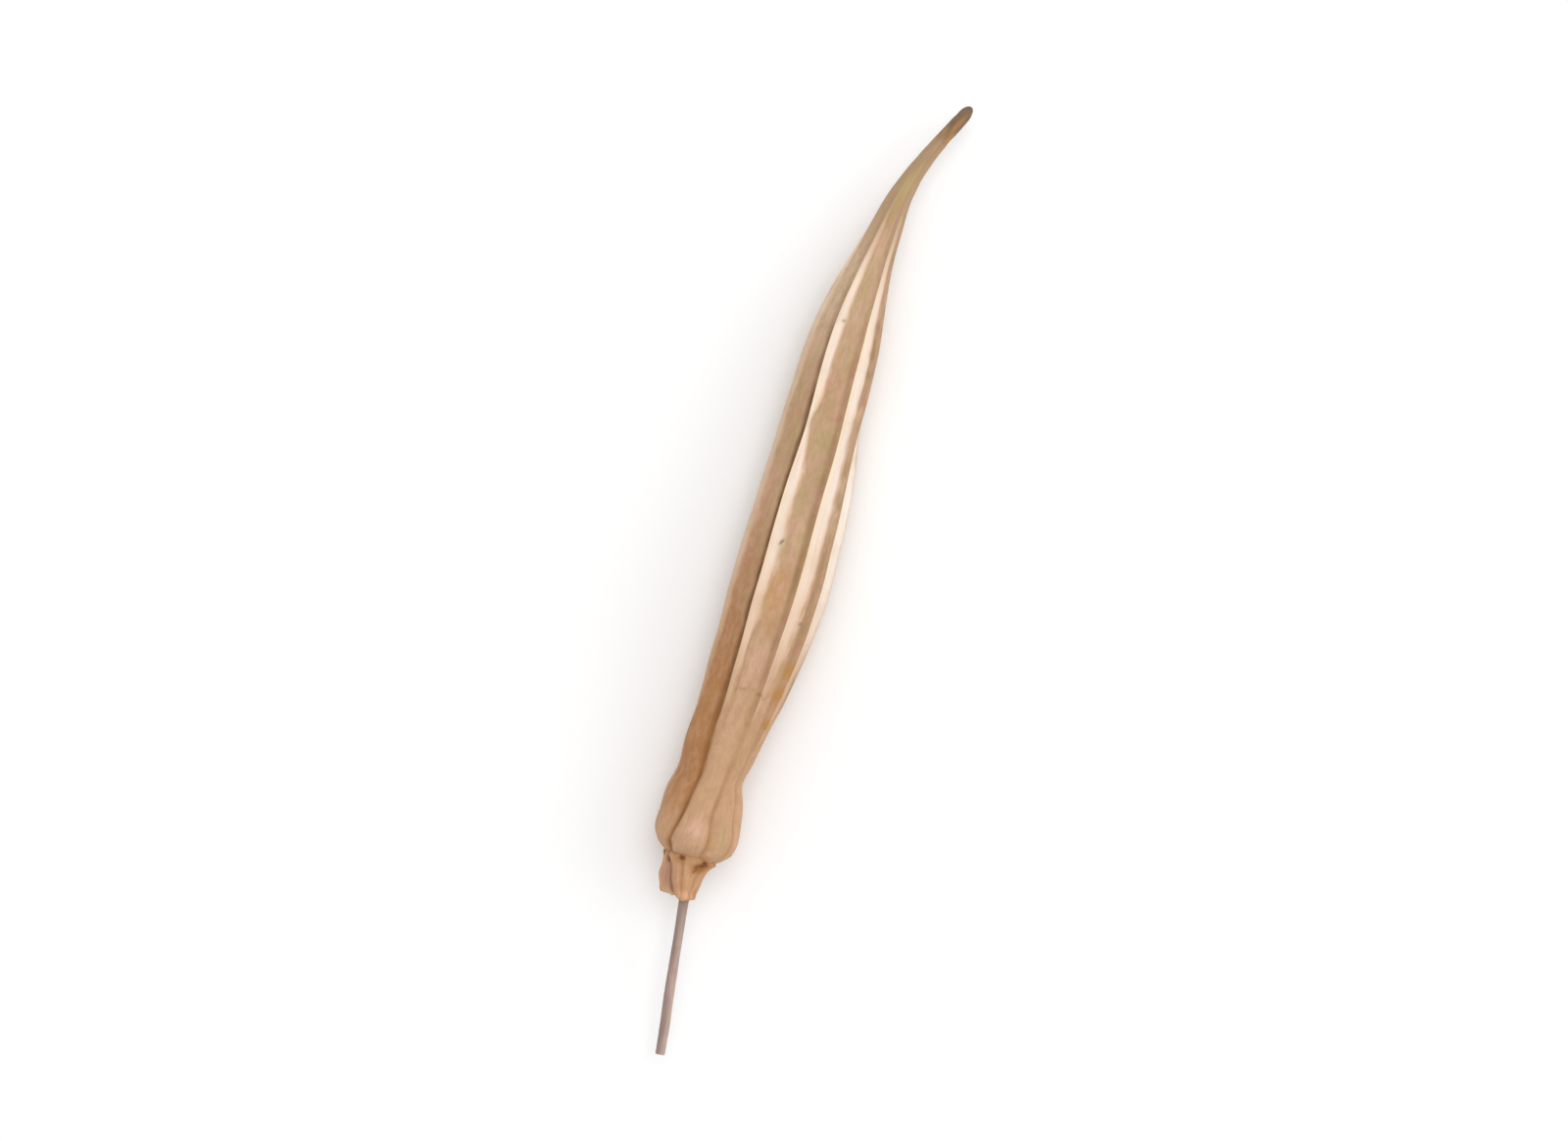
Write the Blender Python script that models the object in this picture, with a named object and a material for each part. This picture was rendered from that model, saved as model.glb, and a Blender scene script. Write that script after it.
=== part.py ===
"""A dried okra pod on a thin stick stem, lying on its side: metres, +Z up, beak towards +Y.

The fruit is one loft. Its ribs are crests along the belly and turn into grooves between round
lobes at the base, so every section is worked out from the same eight seam angles.
"""
import bpy
import numpy as np
from mathutils import Vector

MM = 0.001
# Clear space kept between pieces that touch (mm).
GAP = 0.3
# Where the fruit starts and ends along Y, and the radius that closes its beak (mm).
BASE_END = 40.3
BEAK_END = 204.0
BEAK_ROUNDING = 1.2

# The fruit's centre line, base to beak: along, sideways, up (mm).
CENTRE_LINE = np.array([
    (31.6, -7.0, 9.0),
    (44.0, -7.2, 8.7),
    (57.0, -8.2, 8.4),
    (78.0, -6.9, 9.0),
    (98.0, -6.7, 9.6),
    (118.0, -7.6, 8.7),
    (138.0, -9.2, 7.9),
    (158.0, -10.05, 7.4),
    (171.0, -9.4, 7.0),
    (185.0, -7.6, 6.6),
    (193.5, -4.72, 6.5),
    (BEAK_END, 0.0, 6.7),
])

# Crest radius of the fruit: along, radius (mm).
CREST_RADIUS = np.array([
    (BASE_END, 5.0),
    (41.0, 6.2),
    (42.2, 7.7),
    (44.5, 8.8),
    (49.0, 8.7),
    (53.0, 8.3),
    (57.5, 7.05),
    (63.0, 7.72),
    (71.0, 8.4),
    (84.5, 9.5),
    (98.0, 10.3),
    (111.5, 9.95),
    (124.5, 9.35),
    (138.0, 8.4),
    (151.0, 7.5),
    (158.0, 6.5),
    (164.5, 5.25),
    (171.5, 4.0),
    (178.5, 3.02),
    (185.5, 2.24),
    (193.0, 1.6),
    (BEAK_END, BEAK_ROUNDING),
])

# Seams round the fruit: along (mm), then each seam in degrees from straight up, towards +X.
SEAMS = np.array([
    (BASE_END, -82, -40, 22, 66, 106, 157, 202, 238),
    (44.5, -82, -35, 20, 66, 106, 157, 202, 238),
    (50.0, -82, -26, 18, 59, 104, 157, 202, 238),
    (57.0, -82, -19, 28, 59, 100, 157, 202, 238),
    (68.0, -83, -20, 28, 58, 99, 157, 202, 238),
    (78.0, -84, -23, 23, 56, 99, 157, 202, 239),
    (98.0, -84, -27, 20, 55, 98, 157, 201, 239),
    (118.0, -84, -27, 21, 54, 99, 157, 201, 239),
    (131.0, -82, -22, 27, 58, 113, 160, 203, 240),
    (144.0, -79, -23, 30, 79, 121, 164, 207, 243),
    (157.0, -78, -22, 34, 81, 126, 170, 212, 246),
    (170.0, -77, -21, 38, 84, 130, 176, 218, 250),
    (BEAK_END, -66, -14, 38, 90, 138, 184, 226, 260),
])
# How much of the section is ribbed, and how much is lobed: along, share.
RIB_SHARE = np.array([(60.0, 0.0), (84.0, 1.0), (160.0, 1.0), (178.0, 0.3), (BEAK_END, 0.0)])
LOBE_SHARE = np.array([(50.0, 1.0), (62.0, 0.45), (78.0, 0.0)])
# Depth of the hollow between two ribs and of the groove between two lobes, as shares of the radius.
FACE_HOLLOW = 0.03
LOBE_GROOVE = 0.10
STEPS_PER_SEAM = 7

# Where sections are taken along the fruit: from, to, count. More follow round the beak's end.
STATIONS = ((BASE_END, 45.0, 8), (46.0, 60.0, 8), (63.0, 168.0, 29), (171.0, 202.2, 11))
BEAK_TIP_SECTIONS = 4

# The stub of the fruit's own stalk: along, sideways, up, radius (mm), from its cut end to the fruit.
STUB_SECTIONS = np.array([
    (31.7, -7.1, 8.95, 3.2),
    (32.1, -7.1, 8.95, 3.65),
    (33.4, -7.3, 8.95, 3.85),
    (35.4, -7.5, 8.9, 4.28),
    (37.2, -7.42, 8.85, 4.4),
    (38.8, -7.25, 8.8, 4.85),
    (BASE_END - GAP, -7.0, 8.8, 5.6),
])
STUB_RIBS = 5
STUB_RIB_HEIGHT = 0.05
STUB_SIDES = 40

# The stick: its centre line from the cut end up into the stub (mm).
STICK_LINE = np.array([
    (0.0, -0.15, 7.3),
    (6.0, -1.15, 7.6),
    (12.5, -2.3, 7.9),
    (19.0, -3.35, 8.2),
    (25.5, -4.4, 8.5),
    (31.5, -5.35, 8.75),
    (36.5, -6.1, 8.85),
])
STICK_RADIUS = 1.05
STICK_POINTS = 22
STICK_BEVEL_RESOLUTION = 3
# The socket's cutter: its sides, and how far it sticks out of the stub's cut end (mm).
SOCKET_SIDES = 24
SOCKET_OVERRUN = 2.0

# Colour (linear) and roughness of each material.
WALL_FINISH = ((0.52, 0.33, 0.20, 1.0), 0.72)
STUB_FINISH = ((0.50, 0.26, 0.12, 1.0), 0.8)
STICK_FINISH = ((0.42, 0.28, 0.24, 1.0), 0.65)


def clear_scene():
    for item in list(bpy.data.objects):
        bpy.data.objects.remove(item, do_unlink=True)


def new_collection(name):
    collection = bpy.data.collections.new(name)
    bpy.context.scene.collection.children.link(collection)
    return collection


def material(name, finish):
    colour, roughness = finish
    made = bpy.data.materials.new(name)
    made.use_nodes = True
    shader = made.node_tree.nodes["Principled BSDF"]
    shader.inputs["Base Color"].default_value = colour
    shader.inputs["Roughness"].default_value = roughness
    shader.inputs["Metallic"].default_value = 0.0
    return made


def smooth(rows, column, at):
    """Cubic Hermite curve through a column of rows, read at distances along the first column."""
    x = rows[:, 0]
    y = rows[:, column]
    slope = np.gradient(y, x)
    index = np.clip(np.searchsorted(x, at) - 1, 0, len(x) - 2)
    span = x[index + 1] - x[index]
    t = (at - x[index]) / span
    start = (1 + 2 * t) * (1 - t) ** 2 * y[index] + t * (1 - t) ** 2 * span * slope[index]
    end = t ** 2 * (3 - 2 * t) * y[index + 1] + t ** 2 * (t - 1) * span * slope[index + 1]
    return start + end


def blend(rows, at):
    """A share that keeps its end values outside the rows and takes a smooth step between two."""
    index = np.clip(np.searchsorted(rows[:, 0], at) - 1, 0, len(rows) - 2)
    span = rows[index + 1, 0] - rows[index, 0]
    t = np.clip((at - rows[index, 0]) / span, 0, 1)
    return rows[index, 1] + (rows[index + 1, 1] - rows[index, 1]) * t * t * (3 - 2 * t)


def frames(rows, along):
    """Centres of the sections with their sideways and upward directions, square to the line."""
    centre = np.stack([smooth(rows, 1, along), along, smooth(rows, 2, along)], axis=1)
    ahead = np.gradient(centre, along, axis=0)
    ahead /= np.linalg.norm(ahead, axis=1)[:, None]
    side = np.cross(ahead, (0.0, 0.0, 1.0))
    side /= np.linalg.norm(side, axis=1)[:, None]
    return centre, side, np.cross(side, ahead)


def fruit_stations():
    """Distances of the sections, closer together at the shoulder and round the beak's end."""
    belly = np.concatenate([np.linspace(*span) for span in STATIONS])
    turn = np.linspace(0, np.pi / 2, BEAK_TIP_SECTIONS + 2)[1:-1]
    return np.concatenate([belly, BEAK_END - BEAK_ROUNDING * (1 - np.sin(turn))])


def seam_grid(along):
    """Angle of every point round each section, its place from one seam to the next, and that gap."""
    share = np.tile(np.arange(STEPS_PER_SEAM) / STEPS_PER_SEAM, SEAMS.shape[1] - 1)
    seams = np.stack([smooth(SEAMS, column, along) for column in range(1, SEAMS.shape[1])], axis=1)
    seams = np.radians(np.hstack([seams, seams[:, :1] + 360]))
    gap = np.repeat(np.diff(seams, axis=1), STEPS_PER_SEAM, axis=1)
    return np.repeat(seams[:, :-1], STEPS_PER_SEAM, axis=1) + share * gap, share, gap


def fruit_points():
    """Radius = crest radius times a flat-sided rib section and a lobed one, mixed along the fruit."""
    along = fruit_stations()
    angle, share, gap = seam_grid(along)
    flat_side = np.cos(gap / 2) / np.cos((share - 0.5) * gap)
    rib = flat_side * (1 - FACE_HOLLOW * np.sin(np.pi * share)) - 1
    lobe = LOBE_GROOVE * (np.sin(np.pi * share) - 1)
    section = 1 + blend(RIB_SHARE, along)[:, None] * rib + blend(LOBE_SHARE, along)[:, None] * lobe
    into_beak = np.clip((along - BEAK_END + BEAK_ROUNDING) / BEAK_ROUNDING, 0, 1)
    crest = smooth(CREST_RADIUS, 1, along) * np.sqrt(1 - into_beak ** 2)
    radius = (crest[:, None] * section)[:, :, None]
    centre, side, up = frames(CENTRE_LINE, along)
    around = side[:, None] * np.sin(angle)[:, :, None] + up[:, None] * np.cos(angle)[:, :, None]
    return centre[:, None] + radius * around


def stub_points():
    """Circles that widen towards the fruit, with a few shallow ribs."""
    along, sideways, height, radius = STUB_SECTIONS.T
    angle = np.arange(STUB_SIDES) * 2 * np.pi / STUB_SIDES
    ribbed = radius[:, None] * (1 + STUB_RIB_HEIGHT * np.cos(STUB_RIBS * angle))
    x = sideways[:, None] + ribbed * np.sin(angle)
    z = height[:, None] + ribbed * np.cos(angle)
    return np.stack([x, np.broadcast_to(along[:, None], x.shape), z], axis=2)


def loft(name, rings, collection, skin, pointed_end=None):
    """Closed body through rings of points, with a flat first end and a flat or pointed last one."""
    count, sides = rings.shape[:2]
    points = [tuple(point) for point in (rings.reshape(-1, 3) * MM)]
    faces = [tuple(reversed(range(sides)))]
    for ring in range(count - 1):
        for column in range(sides):
            a = ring * sides + column
            b = ring * sides + (column + 1) % sides
            faces.append((a, b, b + sides, a + sides))
    last = (count - 1) * sides
    if pointed_end is None:
        faces.append(tuple(range(last, last + sides)))
    else:
        points.append(tuple(pointed_end * MM))
        faces += [(last + i, last + (i + 1) % sides, last + sides) for i in range(sides)]
    mesh = bpy.data.meshes.new(name)
    mesh.from_pydata(points, [], faces)
    mesh.update()
    body = bpy.data.objects.new(name, mesh)
    body.data.materials.append(skin)
    collection.objects.link(body)
    return body


def pod_body(collection):
    """The fruit: ribbed belly, lobed base and a long bent beak, solid through."""
    tip = np.array([CENTRE_LINE[-1][1], BEAK_END, CENTRE_LINE[-1][2]])
    skin = material("dry_pod_wall", WALL_FINISH)
    return loft("pod_body", fruit_points(), collection, skin, pointed_end=tip)


def line_point(row):
    """A row of a centre line (along, sideways, up) as a place in metres."""
    along, sideways, height = row
    return Vector((sideways, along, height)) * MM


def socket_cutter(cutters):
    """A cylinder round the stick's upper end, wider and longer than the stick by the gap."""
    mouth = line_point(STICK_LINE[-2])
    end = line_point(STICK_LINE[-1])
    direction = (end - mouth).normalized()
    start = mouth - direction * SOCKET_OVERRUN * MM
    stop = end + direction * GAP * MM
    bpy.ops.mesh.primitive_cylinder_add(
        vertices=SOCKET_SIDES, radius=(STICK_RADIUS + GAP) * MM, depth=(stop - start).length)
    cutter = bpy.context.object
    cutter.name = "socket_cutter"
    cutter.location = (start + stop) / 2
    cutter.rotation_euler = direction.to_track_quat("Z", "Y").to_euler()
    cutter.hide_render = True
    for owner in list(cutter.users_collection):
        owner.objects.unlink(cutter)
    cutters.objects.link(cutter)
    return cutter


def stalk_stub(collection, cutter):
    """The fruit's own stalk, cut short, with a socket for the stick."""
    skin = material("stalk_wood", STUB_FINISH)
    stub = loft("stalk_stub", stub_points(), collection, skin)
    socket = stub.modifiers.new("socket", "BOOLEAN")
    socket.operation = "DIFFERENCE"
    socket.solver = "EXACT"
    socket.object = cutter
    return stub


def stick_stem(collection):
    """A round stick, slightly bent, cut square at its free end."""
    along = np.linspace(STICK_LINE[0, 0], STICK_LINE[-1, 0], STICK_POINTS)
    line = np.stack([smooth(STICK_LINE, 1, along), along, smooth(STICK_LINE, 2, along)], axis=1) * MM
    curve = bpy.data.curves.new("stick_stem", "CURVE")
    curve.dimensions = "3D"
    curve.bevel_depth = STICK_RADIUS * MM
    curve.bevel_resolution = STICK_BEVEL_RESOLUTION
    curve.use_fill_caps = True
    spline = curve.splines.new("POLY")
    spline.points.add(STICK_POINTS - 1)
    spline.points.foreach_set("co", np.hstack([line, np.ones((STICK_POINTS, 1))]).ravel())
    curve.materials.append(material("stick_bark", STICK_FINISH))
    stick = bpy.data.objects.new("stick_stem", curve)
    collection.objects.link(stick)
    return stick


def box_corners(pieces):
    """Lowest and highest corner of the finished pieces."""
    bpy.context.view_layer.update()
    graph = bpy.context.evaluated_depsgraph_get()
    points = []
    for piece in pieces:
        evaluated = piece.evaluated_get(graph)
        mesh = evaluated.to_mesh()
        points += [tuple(evaluated.matrix_world @ vertex.co) for vertex in mesh.vertices]
        evaluated.to_mesh_clear()
    points = np.array(points)
    return points.min(axis=0), points.max(axis=0)


def set_down(pieces, cutter, collection):
    """Hang everything on one empty, placed so that the pieces' bottom centre is the origin."""
    low, high = box_corners(pieces)
    middle = (low + high) / 2
    rest = bpy.data.objects.new("resting_place", None)
    collection.objects.link(rest)
    for item in pieces + [cutter]:
        item.parent = rest
    rest.location = (-middle[0], -middle[1], -low[2])


def main():
    clear_scene()
    collection = new_collection("dried_okra_pod")
    cutters = new_collection("cutters")
    cutter = socket_cutter(cutters)
    pieces = [pod_body(collection), stalk_stub(collection, cutter), stick_stem(collection)]
    set_down(pieces, cutter, collection)


main()
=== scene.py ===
import math
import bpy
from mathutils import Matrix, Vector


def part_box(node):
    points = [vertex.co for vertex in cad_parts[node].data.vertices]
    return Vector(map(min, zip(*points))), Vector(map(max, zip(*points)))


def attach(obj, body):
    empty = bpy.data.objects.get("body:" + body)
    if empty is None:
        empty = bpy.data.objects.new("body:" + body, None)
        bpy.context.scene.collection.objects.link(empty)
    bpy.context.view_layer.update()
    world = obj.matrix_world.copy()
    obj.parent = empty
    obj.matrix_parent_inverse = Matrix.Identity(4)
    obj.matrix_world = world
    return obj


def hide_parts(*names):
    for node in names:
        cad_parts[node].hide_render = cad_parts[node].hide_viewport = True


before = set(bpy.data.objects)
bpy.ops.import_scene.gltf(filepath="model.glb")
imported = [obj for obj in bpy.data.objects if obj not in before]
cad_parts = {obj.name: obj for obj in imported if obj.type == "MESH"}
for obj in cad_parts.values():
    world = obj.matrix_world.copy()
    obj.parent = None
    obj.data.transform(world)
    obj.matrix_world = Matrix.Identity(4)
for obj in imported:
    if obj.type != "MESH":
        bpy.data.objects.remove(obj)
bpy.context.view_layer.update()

from types import SimpleNamespace

import bpy
import numpy as np
from mathutils import Matrix, Vector

# The fruit's own measures are in millimetres along its length, from the stick's cut end to the beak.
MM = 0.001

# ---- courses of the fruit, stub and stick

BASE_END = 40.3
BEAK_END = 204.0

# Centre line: along, sideways, up.
CENTRE_LINE = np.array([
    (31.6, -7, 9), (44, -7.2, 8.7), (57, -8.2, 8.4), (78, -6.9, 9), (98, -6.7, 9.6),
    (118, -7.6, 8.7), (138, -9.2, 7.9), (158, -10.05, 7.4), (171, -9.4, 7),
    (185, -7.6, 6.6), (193.5, -4.72, 6.5), (BEAK_END, 0, 6.7),
])

# Crest radius: along, radius.
CREST_RADIUS = np.array([
    (BASE_END, 5), (41, 6.2), (42.2, 7.7), (44.5, 8.8), (49, 8.7), (53, 8.3), (57.5, 7.05),
    (63, 7.72), (71, 8.4), (84.5, 9.5), (98, 10.3), (111.5, 9.95), (124.5, 9.35),
    (138, 8.4), (151, 7.5), (158, 6.5), (164.5, 5.25), (171.5, 4), (178.5, 3.02),
    (185.5, 2.24), (193, 1.6), (BEAK_END, 1.2),
])

# Seams: along, then each seam in degrees from straight up, towards +X.
SEAMS = np.array([
    (BASE_END, -86, -52, 22, 66, 106, 157, 202, 238),
    (44.5, -84, -37, 20, 66, 106, 157, 202, 238),
    (50, -82, -26, 18, 59, 104, 157, 202, 238),
    (57, -82, -19, 28, 59, 100, 157, 202, 238),
    (68, -83, -20, 28, 58, 99, 157, 202, 238),
    (78, -84, -23, 23, 58, 99, 157, 202, 239),
    (98, -84, -27, 20, 55, 98, 157, 201, 239),
    (118, -84, -27, 21, 54, 99, 157, 201, 239),
    (131, -82, -22, 27, 58, 113, 160, 203, 240),
    (144, -79, -23, 30, 79, 121, 164, 207, 243),
    (157, -78, -22, 34, 81, 126, 170, 212, 246),
    (170, -77, -21, 38, 84, 130, 176, 218, 250),
    (BEAK_END, -66, -14, 38, 90, 138, 184, 226, 260),
])
SEAM_COUNT = SEAMS.shape[1] - 1

RIB_SHARE = np.array([(60, 0), (84, 1), (160, 1), (178, 0.3), (BEAK_END, 0)])
LOBE_SHARE = np.array([(50, 1), (62, 0.45), (78, 0)])
FACE_HOLLOW = 0.03
LOBE_GROOVE = 0.10
LOBE_ROUNDNESS = 0.8
TIP_LENGTH = 2.4
# The fruit's end is worn a little shorter than its centre line.
TIP_END = BEAK_END - 0.03
TIP_SWELL = 0.12
TIP_SWELL_RUN = (192.0, 200.0)

# ---- the split seams

# Width of the pale band beside each seam: along, then one width a seam.
BAND_WIDTH = np.array([
    (62, 0.3, 0.3, 0.2, 0.3, 0.3, 0.3, 0.3, 0.3),
    (71, 0.5, 0.7, 0.5, 1.5, 0.9, 0.5, 0.8, 0.6),
    (80, 0.9, 1.15, 2.6, 5.6, 1.5, 1.2, 1.8, 1.8),
    (90, 1.1, 1.75, 3.5, 9.8, 1.9, 1.6, 2.4, 2.6),
    (98, 1.2, 2.3, 4, 10.8, 2.1, 2, 2.7, 3),
    (104, 1.3, 3, 4.3, 11, 2.2, 2.3, 2.6, 3.3),
    (114, 1.3, 2.5, 4.8, 11, 1.8, 2.2, 2.4, 3.4),
    (122, 1.3, 2.4, 4.7, 11.4, 1.5, 1.7, 2.5, 3),
    (127, 1.2, 1.35, 4.3, 10.8, 1.6, 1.3, 2.4, 2.6),
    (132, 1.1, 0.7, 4.45, 8.2, 1.6, 0.9, 2.2, 2.2),
    (139, 1.1, 1.75, 5.15, 3, 1.3, 1.2, 1.8, 1.9),
    (151, 1.2, 2.05, 4.85, 1.3, 1.1, 1.3, 1.5, 1.6),
    (163, 0.9, 1.6, 3.7, 1, 0.8, 0.9, 1.1, 1),
    (172, 0.5, 0.9, 1.8, 0.5, 0.4, 0.4, 0.5, 0.5),
    (180, 0.2, 0.4, 0.4, 0.2, 0.2, 0.2, 0.2, 0.2),
])
# How dark the line at each seam is, painted shade of the crack with the seam's brown: along, then one share a
# seam.
LINE_SHARE = np.array([
    (41, 0.5, 0.8, 0.24, 0.34, 0.5, 0.6, 0.45, 0.6),
    (57, 0.55, 0.88, 0.24, 0.26, 0.5, 0.65, 0.45, 0.6),
    (66, 0.6, 0.98, 0.22, 0.26, 0.55, 0.7, 0.5, 0.6),
    (80, 0.7, 0.98, 0.26, 0.28, 0.1, 0.85, 0.5, 0.7),
    (98, 0.8, 1, 0.32, 0.32, 0, 0.95, 0.5, 0.8),
    (118, 0.8, 0.98, 0.3, 0.3, 0, 0.9, 0.5, 0.8),
    (130, 0.65, 0.95, 0.3, 0.3, 0.15, 0.8, 0.5, 0.7),
    (143, 0.5, 0.7, 0.26, 0.38, 0.45, 0.6, 0.4, 0.5),
    (157, 0.3, 0.38, 0.06, 0.38, 0.3, 0.35, 0.3, 0.3),
    (170, 0.15, 0.2, 0.2, 0.2, 0.2, 0.2, 0.2, 0.2),
    (184, 0, 0.05, 0.1, 0, 0, 0, 0, 0),
])
# Half width of the line in the valleys of the base, how much of its belly course it has along the fruit,
# and how it narrows towards the beak.
VALLEY_WIDTH = 0.62
LINE_COURSE = np.array([(56, 0), (76, 1), (150, 1), (172, 0.5)])
LINE_TAPER = np.array([(150, 1), (172, 0.7)])
LINE_RUN_IN = (BASE_END, 42.0)
LINE_RAGGEDNESS = 0.12
LINE_PATCHINESS = 0.10
# Each seam's line along the belly: how far it lies before the seam, and its half width.
LINE_OFFSET = np.array([0.75, 1.08, 0.8, 1.2, 0.5, 0.6, 0.7, 0.8])
LINE_WIDTH = np.array([0.6, 0.96, 0.6, 0.85, 0.4, 0.5, 0.55, 0.65])
# How pale the bands are, how white their middles are, where a painted highlight lightens them, and how high
# the lips stand.
PALE_SHARE = np.array([
    (68, 0), (78, 0.3), (90, 0.88), (104, 1), (160, 1), (172, 0.5), (184, 0),
])
WHITE_SHARE = np.array([
    (84, 0), (93, 0.28), (105, 0.65), (117, 1), (158, 1), (168, 0.4), (176, 0),
])
HIGHLIGHT_SHARE = np.array([(80.0, 0.0), (107.0, 1.0), (126.0, 1.0), (140.0, 0.0)])
STEP_SHARE = np.array([(62, 0), (80, 0.8), (96, 1), (150, 1), (170, 0.6), (184, 0)])
STEP_HEIGHT = 0.42
LINE_DEPTH = 0.4
# Each seam's own share of the step, of the paleness and of the painted highlight.
SEAM_STEP = np.array([0.9, 1.1, 0.9, 0.6, 0.5, 0.8, 1, 1.2])
SEAM_PALENESS = np.array([0.35, 1, 1, 1, 0.8, 0.75, 0.9, 1])
SEAM_HIGHLIGHT = np.array([0, 0, 0, 0.42, 0.2, 0.1, 0.1, 0.1])
# The faint second line beside the front seam: how far past it, its wander, half width, depth and course.
SECOND_SEAM = 1
SECOND_PLACE = 1.55
SECOND_WANDER = 0.1
SECOND_WIDTH = 0.15
SECOND_DEPTH = 0.08
SECOND_COURSE = np.array([(64.0, 0.0), (72.0, 1.0), (86.0, 1.0), (96.0, 0.0)])

# ---- relief of the wall

# Where the faces' relief shows, and the depths of its veins and lumps.
RELIEF_SHARE = np.array([(BASE_END, 0.0), (46.0, 1.0), (176.0, 1.0), (190.0, 0.0)])
RELIEF_DEPTH = 0.12
VEINS_A_FACE = 3
VEIN_DEPTH = 0.03
LUMP_DEPTH = 0.06
# The furrow beside a band and the rounding before a lip: depth and half width.
FURROW = (0.07, 0.28)
ROUNDING = (0.1, 0.5)
BAND_FALL = 1.6
# The uneven rim at the base, and the beak's eight soft grooves and lumps.
RIM_DEPTH = np.array([(41.5, 0.22), (44.5, 0)])
BEAK_RELIEF = np.array([(178.0, 0.0), (190.0, 1.0)])
BEAK_GROOVE = 0.06
BEAK_LUMPS = 0.05
DEEPEST_SHARE = 0.3

# ---- colours along the wall

# How brown the faces are, partly their own colour and partly painted shade on the faces that lie in shade:
# along the fruit, and each face's share from its seam to the next.
UMBER_AND_SHADE_ALONG = np.array([
    (44, 0.12), (57, 0.88), (84, 0.85), (98, 0.55), (120, 0.2), (150, 0.05),
])
FACE_UMBER_AND_SHADE = 0.9 * np.array([1, 0, 0.15, 0, 0.6, 0.1, 0.8, 0.2])
# Painted shade: the soft brown before a lip, where the band of that face is narrow: along the fruit, and its
# reach.
LIP_SHADE = np.array([(60, 0), (80, 0.3), (144, 0.3), (164, 0)])
LIP_SHADE_REACH = 1.1
NARROW_BAND = (2.5, 5.5)
# Warm at the base, grey at the neck, brown at the beak, and lighter faces below the neck.
WARM_SHARE = np.array([(58, 1), (100, 0.1)])
NECK_SHARE = np.array([(162, 0), (192, 0.7)])
BEAK_SHARE = np.array([(194, 0), (199, 0.88)])
LIGHT_SHARE = np.array([(140.0, 0.0), (158.0, 1.0), (166.0, 1.0), (180.0, 0.0)])
FACE_LIGHT = np.array([0.76, 0.16, 0.16, 0.16, 0.16, 0.16, 0.16, 0.16])

# ---- marks on the wall

# Each mark: degrees from straight up, along, half width, half length, turn in degrees, strength.
MARK_HARDNESS = 1.4
SPECKS = [
    (-14.9, 106.9, 0.26, 0.75, 32, 0.85), (-10.4, 153.7, 0.5, 0.15, 8, 0.8),
    (43.4, 92.7, 0.5, 0.32, 0, 0.6), (-57, 162, 0.35, 0.2, 20, 0.55),
    (-42, 159.5, 0.3, 0.18, -20, 0.45),
]
STAINS = [
    (55, 83, 1.5, 1.8, 0, 1), (55.5, 78, 1.6, 1.7, 10, 1), (58.5, 71.8, 1.5, 0.9, 15, 1),
    (66, 50, 1.3, 3.2, 10, 0.25), (73, 45.5, 1.2, 1.4, 0, 0.25), (33, 41, 1.2, 0.7, 0, 0.9),
    (-2, 97, 3, 6, 0, 0.5), (6, 91, 1.5, 2.6, 0, 0.35), (0, 100.2, 1.7, 1.5, 10, 0.6),
    (-58, 71, 2.6, 12, 0, 0.22), (-6, 96.5, 0.9, 1, 0, 0.25),
    (17.5, 105, 0.45, 2.2, 0, 0.45), (23, 44, 1, 1.8, 0, 0.45),
    (18, 199.6, 0.7, 2.6, 0, 0.7), (-38, 196.9, 0.55, 1.5, 10, 0.5),
    (44, 196.6, 0.6, 1.9, 0, 0.8), (6, 179.5, 0.35, 5, 0, 0.3),
]
# Pink patches of the wall's own colour, and two painted highlights on the base's lobes: the first row and the
# row at 42.4 along.
BLUSHES_AND_HIGHLIGHTS = [
    (-1.6, 46.6, 2.4, 2.4, 0, 0.95), (64, 50, 1.5, 3.6, 10, 0.6),
    (72, 45.5, 1.6, 1.6, 0, 0.55), (0, 67, 2.6, 7, 0, 0.12), (2, 110, 2.2, 5, 0, 0.42),
    (12, 141, 2.4, 7, 0, 0.15), (-56, 114, 2.4, 7, 0, 0.4), (3, 171, 1.3, 4, 0, 0.55),
    (-6, 102, 0.7, 3, 0, 0.5), (2, 95, 2.2, 4.5, 0, 0.6), (4, 83, 3, 7, 0, 0.5),
    (40, 76, 1, 1.6, 0, 0.5), (-75, 110, 1, 9, 0, 0.6), (-70, 82, 0.8, 9, 0, 0.4),
    (-45, 66, 1.2, 5, 0, 0.4), (29, 42.4, 0.7, 0.45, 20, 1),
]
OLIVES = [
    (9.6, 161, 1.2, 2.4, 0, 0.7), (0, 184.5, 1.3, 4.6, 0, 0.9), (-4, 179, 0.9, 4, 0, 0.45),
    (-30, 199.5, 0.9, 2.6, 0, 0.35), (10, 129.5, 1.7, 2, 0, 0.7),
    (-4, 118.5, 1.4, 2.4, 0, 0.6), (-55, 99, 0.9, 10, 0, 0.55), (42, 133, 0.6, 7, 0, 0.5),
    (-50, 133, 1.4, 4, 20, 0.5), (40, 46.5, 1.4, 2.6, 0, 0.45), (20, 68, 0.8, 9, 0, 0.3),
]
BROWNS = [
    (-38, 121, 3, 7, 0, 0.2), (57, 71.3, 1.1, 0.45, 15, 0.55), (4, 93, 2.2, 4, 0, 0.14),
    (8, 140, 2.6, 8, 0, 0.1),
]
# A pale streak of the next band on the left face, and the neck's olive patch.
STREAKS = [(-76, 167.5, 0.6, 6, 0, 0.9)]
NECK_OLIVES = [(0, 184.5, 1.2, 4.6, 0, 0.7)]
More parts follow.
